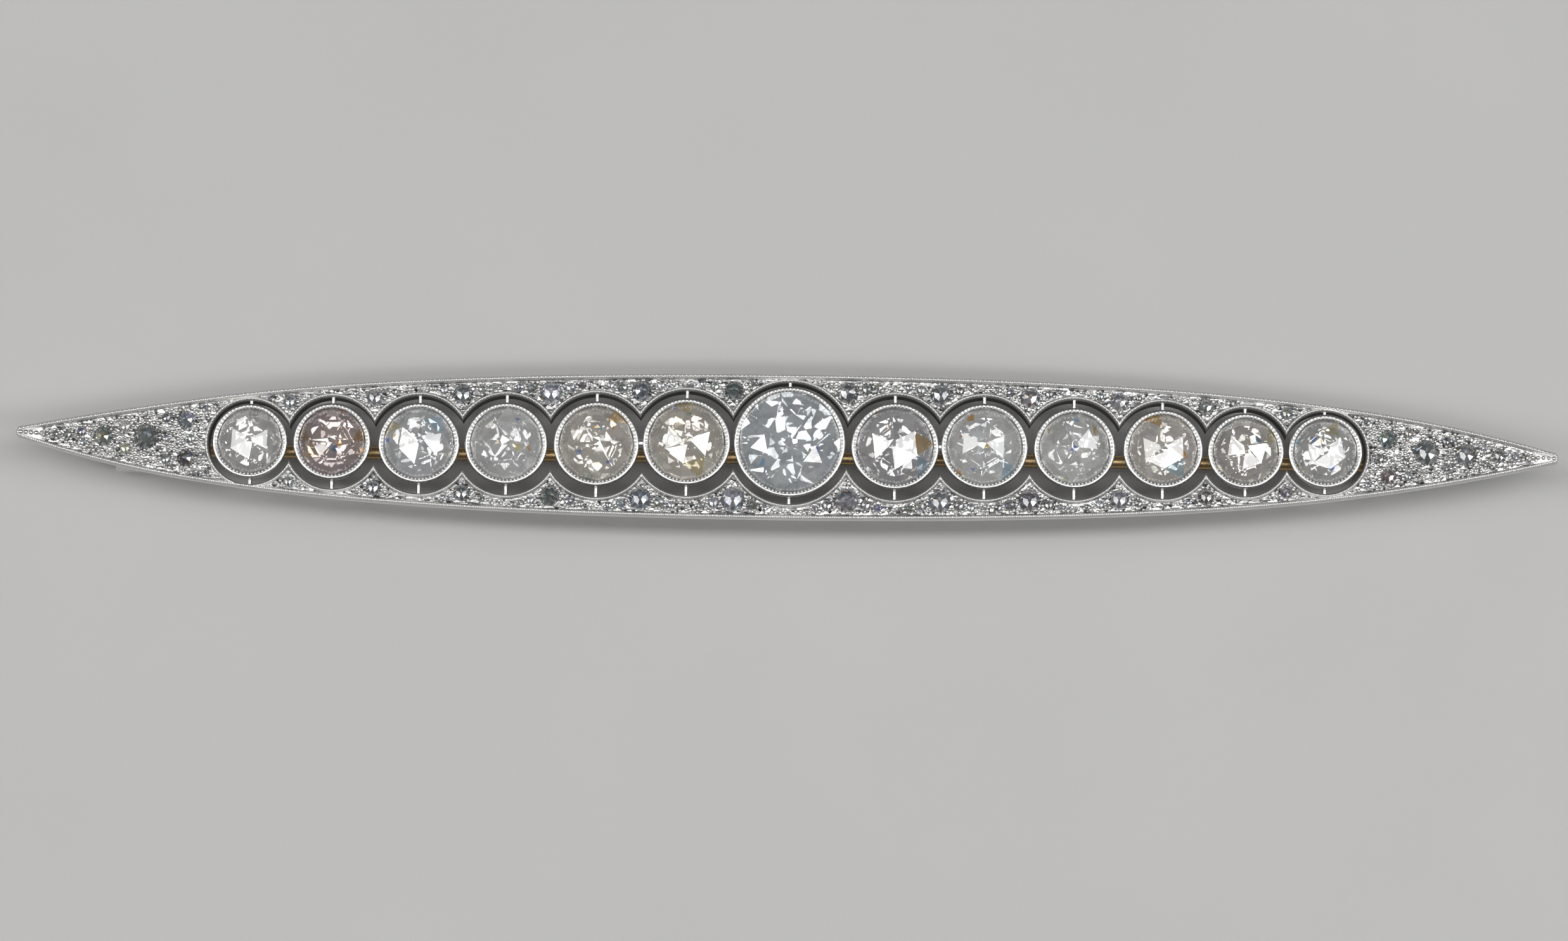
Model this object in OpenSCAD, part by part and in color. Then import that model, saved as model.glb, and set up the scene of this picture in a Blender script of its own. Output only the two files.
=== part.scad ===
// Diamond bar brooch: a long pointed plate, pierced by a chain of round openings, with a
// stone in a round collet hung in each opening. X runs along the bar, Y across it and Z out
// of its front. The feet of the hinge and the catch, on the back, stand on Z = 0.

/* [Bar] */
// Length over the two rounded noses
bar_l = 85; // [84:0.5:88]
// Width at the middle
bar_w = 8.1; // [8:0.05:8.6]
// Fullness of the outline between the middle and the noses
bar_fullness = 0.53; // [0.4:0.01:0.6]
// Height of the plate's back above the feet
plate_back = 3.1; // [2.8:0.1:3.6]
// Thickness of the plate under the small stones
plate_t = 1.2; // [1:0.1:1.6]
// Width of the raised border along the edge
border_w = 0.3; // [0.25:0.01:0.34]
// Width of the raised rim round each opening
rim_w = 0.24; // [0.18:0.01:0.26]
// Height of the border and the rims above the floor that holds the small stones
rim_h = 0.15; // [0.1:0.01:0.25]
// How far the left nose stands above the midline
left_lift = 0.3; // [0:0.05:0.4]
// How far the right nose hangs below the midline
right_drop = 0.12; // [0:0.02:0.4]

/* [Collets] */
// Height of the collets' rims above the small stones' floor
collet_rise = 0.65; // [0.5:0.05:0.9]
// Height of the collets' lower ends above the feet
collet_back = 2.7; // [2.5:0.1:3]
// Width of a collet's rim, from its outer edge to the stone
collet_rim = 0.3; // [0.25:0.01:0.34]
// Width of the fine struts that hold the collets
strut_w = 0.2; // [0.16:0.02:0.3]

/* [Stones] */
// Height of a rose-cut stone over its girdle, as a part of its radius
rose_rise = 0.42; // [0.35:0.01:0.5]
// Gap between a stone and its metal
stone_gap = 0.05; // [0.04:0.01:0.06]
// Height of a small stone's crown, as a part of its radius
small_rise = 0.5; // [0.4:0.05:0.6]

/* [Back fittings] */
// Diameter of the pin stem
stem_d = 0.75; // [0.7:0.05:0.8]
// Height of the pin stem's middle above the feet
stem_z = 1.25; // [1.2:0.05:1.3]
// Width of the hinge across the bar
hinge_w = 2.4; // [2.2:0.1:2.6]
// Length of the catch along the bar
catch_l = 2.5; // [2:0.1:3]

/* [Hidden] */

$fn = 64;
slack = 0.01;

// One row for each collet: its place along and across the bar, its radius, the radius of the
// opening round it, and how far its stone is turned
AT = 0;
ACROSS = 1;
COLLET_R = 2;
OPENING_R = 3;
TURN = 4;
STATIONS = [
    [-29.55, -0.12, 2.07, 2.32, 0],
    [-25.04, -0.09, 2.13, 2.55, 30],
    [-20.25, -0.12, 2.24, 2.72, 50],
    [-15.46, -0.08, 2.28, 2.77, 28],
    [-10.50, -0.04, 2.36, 2.87, 33],
    [-5.54, 0.14, 2.42, 2.92, 52],
    [0.13, 0.20, 3.08, 3.38, 11],
    [5.93, 0.03, 2.42, 2.89, 5],
    [10.85, 0.08, 2.39, 2.83, 56],
    [15.80, 0.04, 2.25, 2.77, 22],
    [20.67, 0.05, 2.20, 2.67, 4],
    [25.22, 0.01, 2.10, 2.44, 50],
    [29.60, 0.04, 2.05, 2.28, 10]
];
CENTRE = 6;
// Collets whose rims are soldered to the next collet
SOLDERED = [4, 7];

// Small stones of the two pointed ends: place along and above the midline, and radius
END_R = 2;
LEFT_END = [
    [-31.95, 1.74, 0.20], [-33.10, 1.10, 0.50], [-34.20, 1.20, 0.30], [-35.30, 0.12, 0.72],
    [-32.80, 0.04, 0.24], [-34.24, 0.04, 0.20], [-36.45, 0.64, 0.34], [-37.68, 0.02, 0.54],
    [-38.84, 0.26, 0.28], [-39.62, 0.04, 0.25], [-40.30, 0.03, 0.20], [-40.80, 0.01, 0.14],
    [-31.95, -1.80, 0.18], [-33.10, -1.06, 0.50], [-34.20, -1.12, 0.30],
    [-36.42, -0.60, 0.32], [-38.74, -0.36, 0.20]
];
RIGHT_END = [
    [31.95, 1.76, 0.20], [33.10, 0.82, 0.54], [34.22, 1.20, 0.28], [35.22, 0.12, 0.72],
    [36.28, 0.78, 0.26], [37.38, 0.06, 0.64], [38.40, 0.46, 0.18], [39.22, 0.04, 0.40],
    [40.10, 0.03, 0.24], [40.70, 0.01, 0.16],
    [32.62, -0.26, 0.26], [31.95, -1.72, 0.18], [33.10, -1.24, 0.46], [34.10, -0.42, 0.22],
    [34.20, -1.20, 0.26], [36.26, -0.68, 0.26], [38.38, -0.44, 0.18]
];

// Heights of the plate
plate_front = plate_back + plate_t;
rim_top = plate_front + rim_h;
collet_top = plate_front + collet_rise;

// Outline of the bar: the formula would reach no width a little past the noses
nose_inset = 0.34;
nose_x = bar_l / 2 - nose_inset;
taper_l = nose_x + 1.23;
outline_steps = 60;
straight_l = 33;
channel_x = nose_x - 1.1;

function half_width(x) =
    let (u = x / taper_l) bar_w / 2 * (1 - u * u) * (1 + bar_fullness * u * u);
function past_straight(x) = max(0, abs(x) - straight_l) / (nose_x - straight_l);
function midline(x) = (x < 0 ? left_lift : -right_drop) * pow(past_straight(x), 2);
function along(reach, i) = reach * (2 * i / outline_steps - 1);
function edge(x, side, inset) = [x, midline(x) + side * (half_width(x) - inset)];

// Bar between two ends, drawn in from its edge by the inset
module bar_shape(reach, inset) {
    steps = [0 : outline_steps];
    polygon(concat(
        [for (i = steps) edge(along(reach, i), 1, inset)],
        [for (i = steps) edge(along(reach, outline_steps - i), -1, inset)]
    ));
}

module bar_outline() {
    bar_shape(nose_x, 0);
    for (side = [-1, 1])
        translate([side * nose_x, midline(side * nose_x)]) circle(r = half_width(nose_x));
}

module openings(extra) {
    for (s = STATIONS)
        translate([s[AT], s[ACROSS]]) circle(r = s[OPENING_R] + extra);
}

// Floor for the small stones, between the border and the rims of the openings
module channels() {
    difference() {
        bar_shape(channel_x, border_w);
        openings(rim_w);
    }
}

// Small stones between two openings. The largest touches the border and both openings: at
// y, its distance to the border equals its distance to the circles, which gives y by halves.
stone_clear = 0.08;
function cusp_x(a, b) =
    let (d = b[AT] - a[AT])
    a[AT] + (d * d + pow(a[OPENING_R], 2) - pow(b[OPENING_R], 2)) / (2 * d);
function main_y(a, b, side) =
    let (
        x = cusp_x(a, b),
        shift = side * (a[ACROSS] + b[ACROSS]) / 2,
        reach = half_width(x) - shift + (a[OPENING_R] + b[OPENING_R]) / 2,
        apart = (b[AT] - a[AT]) / 2
    ) (reach * reach - apart * apart) / (2 * reach) + shift;
function main_r(a, b, side) =
    half_width(cusp_x(a, b)) - border_w - main_y(a, b, side) - stone_clear;

// Middle and half of the channel's width over an opening, and the stones that fit in it
function opening_top(s, x, side) =
    side * s[ACROSS] + sqrt(max(0, pow(s[OPENING_R] + rim_w, 2) - pow(x - s[AT], 2)));
function channel_y(s, x, side) = (half_width(x) - border_w + opening_top(s, x, side)) / 2;
function channel_r(s, x, side) =
    let (steep = abs(x - s[AT]) / (s[OPENING_R] + rim_w))
    (half_width(x) - border_w - opening_top(s, x, side)) / 2 * (1 - 0.35 * steep)
    - stone_clear;

side_steps = [1.06, 1.72];
smallest_r = 0.14;
largest_side_r = [0.32, 0.24];
function between(k, side) =
    let (
        a = STATIONS[k],
        b = STATIONS[k + 1],
        x = cusp_x(a, b),
        main = [x, side * main_y(a, b, side), main_r(a, b, side)],
        sides = [
            for (way = [-1, 1], n = [0, 1])
                let (
                    s = way < 0 ? a : b,
                    sx = x + way * side_steps[n],
                    r = min(channel_r(s, sx, side), largest_side_r[n])
                )
                if (r > smallest_r) [sx, side * channel_y(s, sx, side), r]
        ]
    ) concat([main], sides);

// Stones of one half of the bar: side is 1 above the midline and -1 below it
function on_side(ends, side) =
    [for (e = ends) if ((e[ACROSS] > 0 ? 1 : -1) == side) [e[AT], e[ACROSS] + midline(e[AT]), e[END_R]]];
function small_stones(side) = concat(
    on_side(LEFT_END, side),
    [for (k = [0 : len(STATIONS) - 2], s = between(k, side)) s],
    on_side(RIGHT_END, side)
);

// Small stone: an eight-sided girdle sunk in the floor, and a crown of sixteen facets
small_sink = 0.12;
small_girdle = 0.12;
small_table = 0.5;
function ring(n, r, z, turn) = [for (i = [0 : n - 1]) [r * cos(turn + 360 * i / n), r * sin(turn + 360 * i / n), z]];
module gem(points) {
    hull() polyhedron(points, [[for (i = [0 : len(points) - 1]) i]]);
}

module small_stone(r) {
    gem(concat(
        ring(8, r, 0, 0),
        ring(8, r, small_girdle, 0),
        ring(8, r * small_table, small_girdle + r * small_rise, 22.5)
    ));
}

module small_stone_field(side) {
    for (s = small_stones(side))
        translate([s[AT], s[ACROSS], plate_front - small_sink + stone_gap]) small_stone(s[END_R]);
}

module small_stone_pits() {
    for (side = [-1, 1], s = small_stones(side))
        translate([s[AT], s[ACROSS], plate_front - small_sink])
            cylinder(r = s[END_R] + stone_gap, h = small_sink + slack, $fn = 24);
}

// Collet: a tapered cup, open at the back, with a seat under the stone's girdle and a lip
// turned in over it
collet_taper = 0.86;
bore_part = 0.62;
seat_drop = 0.32;
girdle_t = 0.08;
lip_cover = 0.08;
lip_t = 0.13;
function stone_r(s) = s[COLLET_R] - collet_rim + lip_cover;
centre_deeper = 0.4;
centre_ledge = 0.04;
centre_bore_part = 0.55;
function collet_low(k) = collet_back - (k == CENTRE ? centre_deeper : 0);

module collet(k) {
    s = STATIONS[k];
    low = collet_low(k);
    seat = collet_top - seat_drop;
    shelf = stone_r(s) + stone_gap;
    bore = k == CENTRE ? shelf * centre_bore_part : s[COLLET_R] * bore_part;
    translate([s[AT], s[ACROSS], 0])
        rotate_extrude()
            polygon([
                [bore, low],
                [s[COLLET_R] * collet_taper, low],
                [s[COLLET_R], collet_top - 0.3],
                [s[COLLET_R], collet_top],
                [s[COLLET_R] - collet_rim, collet_top],
                [shelf, collet_top - lip_t],
                [shelf, seat],
                [k == CENTRE ? shelf - centre_ledge : bore, seat]
            ]);
}

// Two fine struts hold each collet in its opening, above and below
strut_low = 3.3;
strut_top = 4.25;
strut_bite = 0.15;
module struts(k) {
    s = STATIONS[k];
    inner = s[COLLET_R] * collet_taper;
    reach = s[OPENING_R] + strut_bite - inner;
    for (side = [-1, 1])
        translate([
            s[AT] - strut_w / 2,
            s[ACROSS] + (side > 0 ? inner : -inner - reach),
            strut_low
        ])
            cube([strut_w, reach, strut_top - strut_low]);
}

// Drop of solder between two rims that all but touch
solder_r = 0.24;
module solder(k) {
    a = STATIONS[k];
    b = STATIONS[k + 1];
    middle = (a[AT] + a[COLLET_R] + b[AT] - b[COLLET_R]) / 2;
    translate([middle, (a[ACROSS] + b[ACROSS]) / 2, collet_top - 0.7])
        cylinder(r = solder_r, h = 0.55, $fn = 24);
}

// Hinge: two round cheeks on flat feet, with a rivet through them, soldered to the plate
hinge_x = 33.15;
cheek_r = 1.15;
foot_l = 1.2;
foot_h = 0.4;
eye_t = 0.8;
eye_r = 0.95;
rivet_r = 0.38;
running_gap = 0.08;
solder_bite = 0.1;
stem_y = -0.12;
module hinge() {
    slot_w = eye_t + 2 * running_gap;
    translate([hinge_x, stem_y, 0]) {
        difference() {
            union() {
                translate([0, hinge_w / 2, stem_z])
                    rotate([90, 0, 0]) cylinder(r = cheek_r, h = hinge_w, $fn = 48);
                translate([-cheek_r, -hinge_w / 2, stem_z])
                    cube([2 * cheek_r, hinge_w, plate_back + solder_bite - stem_z]);
                translate([-foot_l / 2, -hinge_w / 2, 0]) cube([foot_l, hinge_w, foot_h]);
            }
            translate([-2 * cheek_r, -slot_w / 2, -slack])
                cube([4 * cheek_r, slot_w, stem_z + eye_r + running_gap + slack]);
        }
        translate([0, hinge_w / 2 - slack, stem_z])
            rotate([90, 0, 0]) cylinder(r = rivet_r, h = hinge_w - 2 * slack, $fn = 32);
    }
}

// Catch: an open ring along the bar, slotted on its upper side, with a flat foot
catch_x = -35.95;
catch_r = 1.25;
catch_bore = 0.6;
catch_web = 1;
module catch() {
    translate([catch_x - catch_l / 2, stem_y, stem_z]) {
        difference() {
            union() {
                rotate([0, 90, 0]) cylinder(r = catch_r, h = catch_l, $fn = 48);
                translate([0, -catch_web / 2, 0])
                    cube([catch_l, catch_web, plate_back + solder_bite - stem_z]);
                translate([0, -catch_web, -stem_z]) cube([catch_l, 2 * catch_web, 0.4]);
            }
            translate([-slack, 0, 0])
                rotate([0, 90, 0]) cylinder(r = catch_bore, h = catch_l + 2 * slack, $fn = 32);
            translate([-slack, 0, -catch_bore * 0.8])
                cube([catch_l + 2 * slack, 2 * catch_r, catch_bore * 1.6]);
        }
    }
}

module mount() {
    color("gainsboro") {
        difference() {
            translate([0, 0, plate_back])
                linear_extrude(rim_top - plate_back)
                    difference() {
                        bar_outline();
                        openings(0);
                    }
            translate([0, 0, plate_front]) linear_extrude(rim_h + slack) channels();
            small_stone_pits();
        }
        for (k = [0 : len(STATIONS) - 1]) {
            collet(k);
            struts(k);
        }
        for (k = SOLDERED) solder(k);
        hinge();
        catch();
    }
}

// Pin stem: a flat round eye on the rivet, and a wire that narrows to a point in the catch
stem_tip_x = -38.4;
stem_taper_x = -33.2;
stem_tip_r = 0.08;
module pin_stem() {
    color("goldenrod")
        translate([hinge_x, stem_y, stem_z])
            difference() {
                union() {
                    translate([0, eye_t / 2, 0])
                        rotate([90, 0, 0]) cylinder(r = eye_r, h = eye_t, $fn = 48);
                    rotate([0, -90, 0]) cylinder(d = stem_d, h = hinge_x - stem_taper_x);
                    translate([stem_taper_x - hinge_x, 0, 0])
                        rotate([0, -90, 0])
                            cylinder(r1 = stem_d / 2, r2 = stem_tip_r, h = stem_taper_x - stem_tip_x);
                }
                translate([0, eye_t, 0])
                    rotate([90, 0, 0])
                        cylinder(r = rivet_r + running_gap, h = 2 * eye_t, $fn = 32);
            }
}

// Rose cut: a flat back, a thin girdle of twelve sides, eighteen facets round six, and a
// small table
rose_shoulder_r = 0.6;
rose_shoulder_z = 0.72;
rose_table_r = 0.12;
module rose_cut(r, turn) {
    rise = r * rose_rise;
    gem(concat(
        ring(12, r, 0, turn),
        ring(12, r, girdle_t, turn),
        ring(6, r * rose_shoulder_r, girdle_t + rise * rose_shoulder_z, turn + 30),
        ring(6, r * rose_table_r, girdle_t + rise, turn + 30)
    ));
}

// Brilliant cut: table, eight stars, eight kites and sixteen halves above the girdle, and
// eight mains, sixteen halves and a culet below it. Each kite is flat: its shoulder height
// lies on the line from the table's corner to the girdle.
brilliant_table_r = 0.5;
brilliant_shoulder_r = 0.76;
brilliant_crown = 0.29;
brilliant_depth = 0.82;
brilliant_belly_r = 0.42;
brilliant_culet_r = 0.09;
module brilliant_cut(r, turn) {
    crown = r * brilliant_crown;
    depth = r * brilliant_depth;
    seen = cos(22.5);
    shoulder = crown * (1 - brilliant_shoulder_r * seen) / (1 - brilliant_table_r) + slack;
    belly = -depth * (1 - brilliant_belly_r * seen) / (1 - brilliant_culet_r * seen) - slack;
    gem(concat(
        ring(8, r * brilliant_table_r, girdle_t + crown, turn + 22.5),
        ring(8, r * brilliant_shoulder_r, girdle_t + shoulder, turn),
        ring(16, r, girdle_t, turn),
        ring(16, r, 0, turn),
        ring(8, r * brilliant_belly_r, belly, turn),
        ring(8, r * brilliant_culet_r, -depth, turn)
    ));
}

module main_stone(k, tint) {
    s = STATIONS[k];
    color(tint)
        translate([s[AT], s[ACROSS], collet_top - seat_drop + stone_gap]) {
            if (k == CENTRE) brilliant_cut(stone_r(s), s[TURN]);
            else rose_cut(stone_r(s), s[TURN]);
        }
}

module stone_01() { main_stone(0, "whitesmoke"); }
module stone_02() { main_stone(1, "rosybrown"); }
module stone_03() { main_stone(2, "lightsteelblue"); }
module stone_04() { main_stone(3, "lightgray"); }
module stone_05() { main_stone(4, "tan"); }
module stone_06() { main_stone(5, "wheat"); }
module stone_07() { main_stone(6, "azure"); }
module stone_08() { main_stone(7, "silver"); }
module stone_09() { main_stone(8, "white"); }
module stone_10() { main_stone(9, "lightgray"); }
module stone_11() { main_stone(10, "antiquewhite"); }
module stone_12() { main_stone(11, "tan"); }
module stone_13() { main_stone(12, "lightsteelblue"); }
module upper_small_stones() { color("lavender") small_stone_field(1); }
module lower_small_stones() { color("lavender") small_stone_field(-1); }

mount();
pin_stem();
upper_small_stones();
lower_small_stones();
stone_01();
stone_02();
stone_03();
stone_04();
stone_05();
stone_06();
stone_07();
stone_08();
stone_09();
stone_10();
stone_11();
stone_12();
stone_13();
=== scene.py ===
# Long pointed bar brooch: a pierced platinum front, diamonds in round collets, gold pin behind.
# Lengths are worked out in millimetres and go into the meshes in metres.
import math

import bmesh
import bpy
import numpy as np
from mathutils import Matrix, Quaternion, Vector


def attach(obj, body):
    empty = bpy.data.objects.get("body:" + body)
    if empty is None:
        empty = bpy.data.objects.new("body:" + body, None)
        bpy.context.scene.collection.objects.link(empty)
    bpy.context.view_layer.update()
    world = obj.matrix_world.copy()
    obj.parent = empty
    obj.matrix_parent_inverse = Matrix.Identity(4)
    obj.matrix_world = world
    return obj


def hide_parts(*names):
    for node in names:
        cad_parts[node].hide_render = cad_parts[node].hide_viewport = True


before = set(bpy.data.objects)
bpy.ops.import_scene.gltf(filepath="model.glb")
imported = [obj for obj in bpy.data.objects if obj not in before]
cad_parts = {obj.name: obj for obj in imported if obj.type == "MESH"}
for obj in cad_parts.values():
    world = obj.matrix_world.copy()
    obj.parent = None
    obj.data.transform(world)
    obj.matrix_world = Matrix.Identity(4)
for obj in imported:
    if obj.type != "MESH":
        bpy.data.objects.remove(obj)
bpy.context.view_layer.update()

mm = 0.001
scene = bpy.context.scene


# Places taken from the frame

def meshPoints(mesh):  # the corners, in millimetres
    points = np.empty(len(mesh.vertices) * 3)
    mesh.vertices.foreach_get("co", points)
    return points.reshape(-1, 3) / mm


def cad(node):  # the mesh of a node of the frame
    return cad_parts[node].data


def triangles(mesh):  # three corner numbers for each
    mesh.calc_loop_triangles()
    corners = np.empty(len(mesh.loop_triangles) * 3, np.int64)
    mesh.loop_triangles.foreach_get("vertices", corners)
    return corners.reshape(-1, 3)


def stoneSeat(points):  # middle of the girdle, its radius and its lower edge's height
    middle = (points[:, :2].max(0) + points[:, :2].min(0)) / 2
    far = np.hypot(*(points[:, :2] - middle).T)
    rim = points[far > far.max() * 0.995]
    return [*middle, far.max(), rim[:, 2].min()]


def looseStones(mesh):
    # Joins corners that share a place, then gives every corner the lowest label among the
    # triangles round it until nothing changes, so each loose stone ends with one label.
    points, faces = meshPoints(mesh), triangles(mesh)
    _, same = np.unique(np.round(points, 4), axis=0, return_inverse=True)
    faces = same.reshape(-1)[faces]
    label = np.arange(faces.max() + 1)
    while True:
        least = label[faces].min(1)
        new = label.copy()
        np.minimum.at(new, faces.reshape(-1), np.repeat(least, 3))
        if (new == label).all():
            break
        label = new
    whole = label[same.reshape(-1)]
    return np.array([stoneSeat(points[whole == name]) for name in np.unique(whole)])


mountPoints = meshPoints(cad("mount"))
stoneNodes = sorted(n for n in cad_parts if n.startswith("stone_"))
seats = np.array([stoneSeat(meshPoints(cad(n))) for n in stoneNodes])
smallSeats = {side: looseStones(cad(side + "_small_stones")) for side in ("upper", "lower")}
allSmall = np.concatenate(list(smallSeats.values()))
print("frame read:", len(seats), "main stones,", len(allSmall), "small stones")


# Outline of the bar, as in the solids: a pointed oval by formula, with a small round nose

bar = {
    "fullness": 0.53, "noseInset": 0.34, "pastNose": 1.23,
    "straight": 33.0, "leftLift": 0.3, "rightDrop": 0.12,
    "border": 0.3, "rim": 0.24,
    "back": 3.1, "front": 4.3, "ridge": 4.45, "colletTop": 4.95,
    "openingGaps": [0.25, 0.42, 0.48, 0.49, 0.51, 0.50, 0.30, 0.47, 0.44, 0.52, 0.47, 0.34, 0.23],
    "stoneToCollet": 0.22,
}
barLength = np.ptp(mountPoints[:, 0])
barWidth = np.ptp(mountPoints[:, 1])
noseX = barLength / 2 - bar["noseInset"]
taperLength = noseX + bar["pastNose"]
colletX, colletY = seats[:, 0], seats[:, 1]
colletR = seats[:, 2] + bar["stoneToCollet"]
openingR = colletR + np.array(bar["openingGaps"])
centre = int(np.argmax(colletR))


def taper(x):  # half the width: (1 - u^2)(1 + fullness u^2) over the share u of the length
    u = np.minimum(np.abs(x), noseX) / taperLength
    return barWidth / 2 * (1 - u**2) * (1 + bar["fullness"] * u**2)


noseR = float(taper(noseX))


def halfWidth(x):  # the formula, and a round nose past its end
    past = np.clip(np.abs(x) - noseX, 0, noseR)
    return np.where(np.abs(x) > noseX, np.sqrt(noseR**2 - past**2), taper(x))


def midline(x):  # both noses stray a little from the axis, as a parabola
    past = np.maximum(0, np.abs(x) - bar["straight"]) / (noseX - bar["straight"])
    return np.where(x < 0, bar["leftLift"], -bar["rightDrop"]) * np.minimum(past, 1.1) ** 2


def distances(x, y, places):  # from every point to every place
    return np.hypot(x[..., None] - places[:, 0], y[..., None] - places[:, 1])


def openingDistance(x, y):  # from the nearest opening's edge, outwards
    return (distances(x, y, seats) - openingR).min(-1)


def stoneDistance(x, y):  # from the nearest small stone's girdle, outwards
    return (distances(x, y, allSmall) - allSmall[:, 2]).min(-1)


def edgeDistance(x, y):
    # From the bar's edge, inwards: the drop to the edge above or below, shortened by the edge's
    # slope; round the nose, its radius less the distance from its middle
    step = 0.05
    slope = (halfWidth(x + step) - halfWidth(x - step)) / (2 * step)
    flat = (halfWidth(x) - np.abs(y - midline(x))) / np.sqrt(1 + np.clip(slope, -0.5, 0.5) ** 2)
    noseMiddle = np.sign(x) * noseX
    nose = noseR - np.hypot(x - noseMiddle, y - midline(noseMiddle))
    return np.where(np.abs(x) > noseX, nose, flat)


# Meshes

def gridFaces(rows, columns, wrapRows=False, wrapColumns=False):
    # Quads between neighbours on a grid whose points are numbered row by row
    i = np.arange(rows if wrapRows else rows - 1)[:, None]
    j = np.arange(columns if wrapColumns else columns - 1)[None, :]
    down, right = (i + 1) % rows, (j + 1) % columns
    quads = [i * columns + j, i * columns + right, down * columns + right, down * columns + j]
    return np.stack(np.broadcast_arrays(*quads), -1).reshape(-1, 4)


seams = {"weld": 0.002, "flat": 0.001}  # corners this near merge, and faces this thin go


def makePiece(name, points, blocks, material, stands, smooth, weld=False):
    # smooth is the angle in degrees over which an edge stays sharp; 0 leaves every face flat
    mesh = bpy.data.meshes.new(name)
    mesh.from_pydata((points * mm).tolist(), [], [f for block in blocks for f in block.tolist()])
    work = bmesh.new()
    work.from_mesh(mesh)
    if weld:
        bmesh.ops.remove_doubles(work, verts=work.verts, dist=seams["weld"] * mm)
        bmesh.ops.dissolve_degenerate(work, edges=work.edges, dist=seams["flat"] * mm)
    bmesh.ops.recalc_face_normals(work, faces=work.faces)
    work.to_mesh(mesh)
    work.free()
    mesh.validate()
    mesh.polygons.foreach_set("use_smooth", np.full(len(mesh.polygons), smooth > 0))
    if smooth > 0:
        mesh.set_sharp_from_angle(angle=math.radians(smooth))
    mesh.materials.append(material)
    piece = bpy.data.objects.new(name, mesh)
    scene.collection.objects.link(piece)
    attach(piece, "root")
    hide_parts(*stands)
    return piece


def mountPiece(name, points, blocks, material, smooth, weld=True):  # a part of the mount
    return makePiece(name, points, blocks, material, ["mount"], smooth, weld)


def paintPoints(piece, name, values):  # one number for each point, for the materials
    layer = piece.data.attributes.new(name, "FLOAT", "POINT")
    layer.data.foreach_set("value", values.astype(np.float32))


def paintFaces(piece, name, colours):  # one colour for each face, put on all its corners
    colours = np.clip(colours, 0.02, 1)
    sizes = np.empty(len(piece.data.polygons), np.int32)
    piece.data.polygons.foreach_get("loop_total", sizes)
    layer = piece.data.color_attributes.new(name, "FLOAT_COLOR", "CORNER")
    full = np.concatenate([colours, np.ones((len(colours), 1))], 1)
    layer.data.foreach_set("color", np.repeat(full, sizes, 0).astype(np.float32).reshape(-1))


def sheet(*axes):  # points from their X, Y and Z, each spread over the whole grid
    return np.stack(np.broadcast_arrays(*axes), -1)


def circle(r, angle, *z, x=0.0, y=0.0):
    # Points at the distance r round (x, y), each at its own angle, and at the height z if given
    return sheet(x + r * np.cos(angle), y + r * np.sin(angle), *z)


def turns(count):  # even steps once round
    return np.linspace(0, 2 * np.pi, count, endpoint=False)


def lathe(profile, sides, wrap=True):
    # An outline of radius and height turned round Z, one row of points for each step of the turn;
    # wrap closes it from its last point to its first
    points = circle(profile[:, 0], turns(sides)[:, None], profile[:, 1])
    return points.reshape(-1, 3), gridFaces(sides, len(profile), True, wrap)


def evenly(path, count, shift=0.0):  # so many points at equal steps of the path's length
    along = np.append(0, np.cumsum(np.hypot(*np.diff(path, axis=0).T)))
    at = (np.arange(count) + shift) * along[-1] / count
    return np.stack([np.interp(at, along, path[:, i]) for i in range(2)], 1)


def joined(parts):
    # Several (points, faces) as one: each part's corners are counted on from the part before it
    blocks, count = [], 0
    for points, faces in parts:
        blocks += [block + count for block in (faces if isinstance(faces, list) else [faces])]
        count += len(points)
    return np.concatenate([points for points, _ in parts]), blocks


def repeated(blocks, copies, size):  # the faces again for each copy of so many corners
    step = (np.arange(copies) * size)[:, None, None]
    return [(block + step).reshape(-1, block.shape[1]) for block in blocks]


# Materials

class Nodes:  # adds nodes to a tree and returns the output that is asked for
    def __init__(self, tree):
        self.tree = tree

    def feed(self, node, **inputs):  # links a socket, and sets a number or a colour
        for key, value in inputs.items():
            spot = node.inputs[int(key[1:]) if key[1:].isdigit() else key.replace("_", " ")]
            if isinstance(value, bpy.types.NodeSocket):
                self.tree.links.new(value, spot)
            else:
                spot.default_value = (*value, 1.0) if isinstance(value, tuple) else value

    def add(self, kind, out=0, settings=(), **inputs):  # inputs go by label, or by number as i2
        node = self.tree.nodes.new(kind)
        for key, value in dict(settings).items():
            setattr(node, key, value)
        self.feed(node, **inputs)
        return node.outputs[out]

    def maths(self, what, a, b=0.0, clamp=False):  # what is done to a and b, such as "ADD"
        return self.add("ShaderNodeMath", settings={"operation": what, "use_clamp": clamp}, i0=a, i1=b)

    def ramp(self, value, stops):  # a straight blend between stops of (place, colour)
        node = self.tree.nodes.new("ShaderNodeValToRGB")
        node.color_ramp.elements.remove(node.color_ramp.elements[1])
        for n, (at, shade) in enumerate(stops):
            stop = node.color_ramp.elements[0] if n == 0 else node.color_ramp.elements.new(at)
            stop.position = at
            stop.color = (*shade, 1.0)
        self.tree.links.new(value, node.inputs[0])
        return node.outputs[0]

    def mix(self, how, amount, a, b):  # 1 - amount of colour a, and amount of a and b blended
        settings = {"data_type": "RGBA", "blend_type": how}
        return self.add("ShaderNodeMix", 2, settings, i0=amount, i6=a, i7=b)

    def painted(self, name, out):  # a paint layer: output 0 is its colour, 2 its number
        return self.add("ShaderNodeAttribute", out, {"attribute_name": name})


def newMaterial(name):  # with its nodes and its shader
    material = bpy.data.materials.new(name)
    material.use_nodes = True
    tree = material.node_tree
    return material, Nodes(tree), tree.nodes["Principled BSDF"]


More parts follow.
